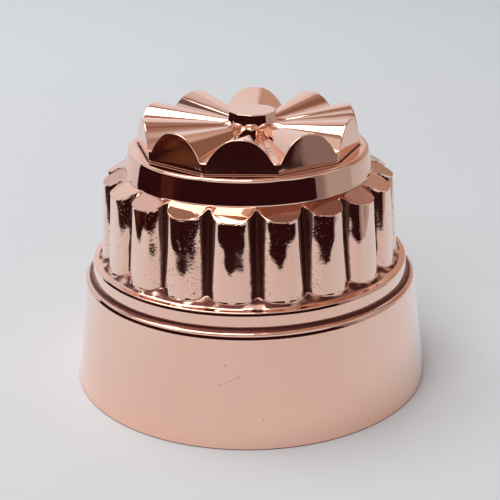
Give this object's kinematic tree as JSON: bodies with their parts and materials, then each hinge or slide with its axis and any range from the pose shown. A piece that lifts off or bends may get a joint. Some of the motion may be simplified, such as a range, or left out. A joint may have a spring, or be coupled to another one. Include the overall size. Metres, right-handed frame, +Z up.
{
  "type": "jelly mould",
  "caption": "Tinned copper jelly mould on its open rim: tapering base band, collar, ring of upright flutes, plain drum and a crown of radiating petals round a flat boss.",
  "frame": {"origin": "middle of the open rim, on the surface that the mould stands on", "axes": "+Z up through the boss, the pictured front towards -Y, +X to the right of it"},
  "size_m": [0.143, 0.143, 0.1074],
  "materials": {
    "polished_copper": "struck and rolled sheet copper, hand polished to a mirror, rosy, with a few pits and fine scratches",
    "brass_spelter": "run brazing metal, dressed flush where it shows",
    "wiped_tin": "hot tin wiped on by hand, dull silver with wipe marks"
  },
  "bodies": {
    "root": {"base_band": "polished_copper", "fluted_tier": "polished_copper", "drum": "polished_copper", "petal_crown": "polished_copper", "band_seam_braze": "brass_spelter", "shoulder_braze": "brass_spelter", "drum_braze": "brass_spelter", "crown_braze": "brass_spelter", "band_lining": "wiped_tin", "tier_lining": "wiped_tin", "drum_lining": "wiped_tin", "crown_lining": "wiped_tin"}
  },
  "joints": []
}
